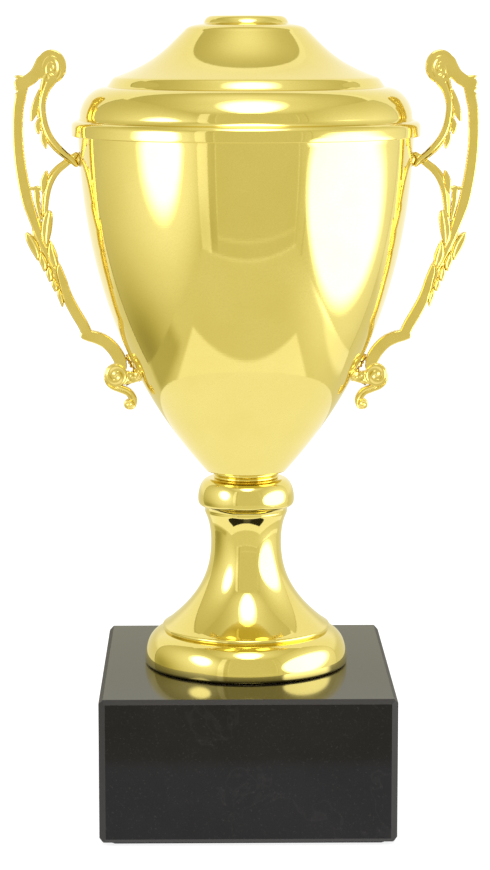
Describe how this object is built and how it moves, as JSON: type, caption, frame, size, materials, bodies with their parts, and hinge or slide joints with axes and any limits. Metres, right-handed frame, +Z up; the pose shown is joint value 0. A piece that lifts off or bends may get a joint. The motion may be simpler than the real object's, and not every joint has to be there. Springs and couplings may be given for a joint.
{
  "type": "lidded trophy cup",
  "caption": "Gold lidded cup on a trumpet stem with scroll handles, standing on a polished dark stone block; the lid lifts straight off.",
  "frame": {"origin": "centre of the underside of the felt, on the surface the trophy stands on", "axes": "+Z up along the axis of the cup, X through the two handles, front of the block at -Y"},
  "size_m": [0.1596, 0.1196, 0.275],
  "materials": {
    "marble": "polished",
    "felt": "matte",
    "gold_spun": "mirror polished",
    "gold_cast": "bright, softly rippled",
    "zinc_steel": "zinc plated"
  },
  "bodies": {
    "cup": {"marble_base": "marble", "felt_pad": "felt", "stem": "gold_spun", "collar": "gold_spun", "neck_ring": "gold_spun", "bowl": "gold_spun", "handle_left": "gold_cast", "handle_right": "gold_cast", "tie_rod": "zinc_steel", "base_nut": "zinc_steel", "base_lock_washer": "zinc_steel", "base_washer": "zinc_steel", "bowl_nut": "zinc_steel", "bowl_washer": "zinc_steel", "upper_screw_left": "zinc_steel", "upper_screw_right": "zinc_steel", "lower_screw_left": "zinc_steel", "lower_screw_right": "zinc_steel", "upper_washer_left": "zinc_steel", "upper_washer_right": "zinc_steel", "lower_washer_left": "zinc_steel", "lower_washer_right": "zinc_steel"},
    "lid": {"lid": "gold_spun"}
  },
  "joints": [
    {"name": "lid_lift", "type": "slide", "parent": "cup", "child": "lid", "axis": [0, 0, 1], "range_m": [0, 0.12]}
  ]
}
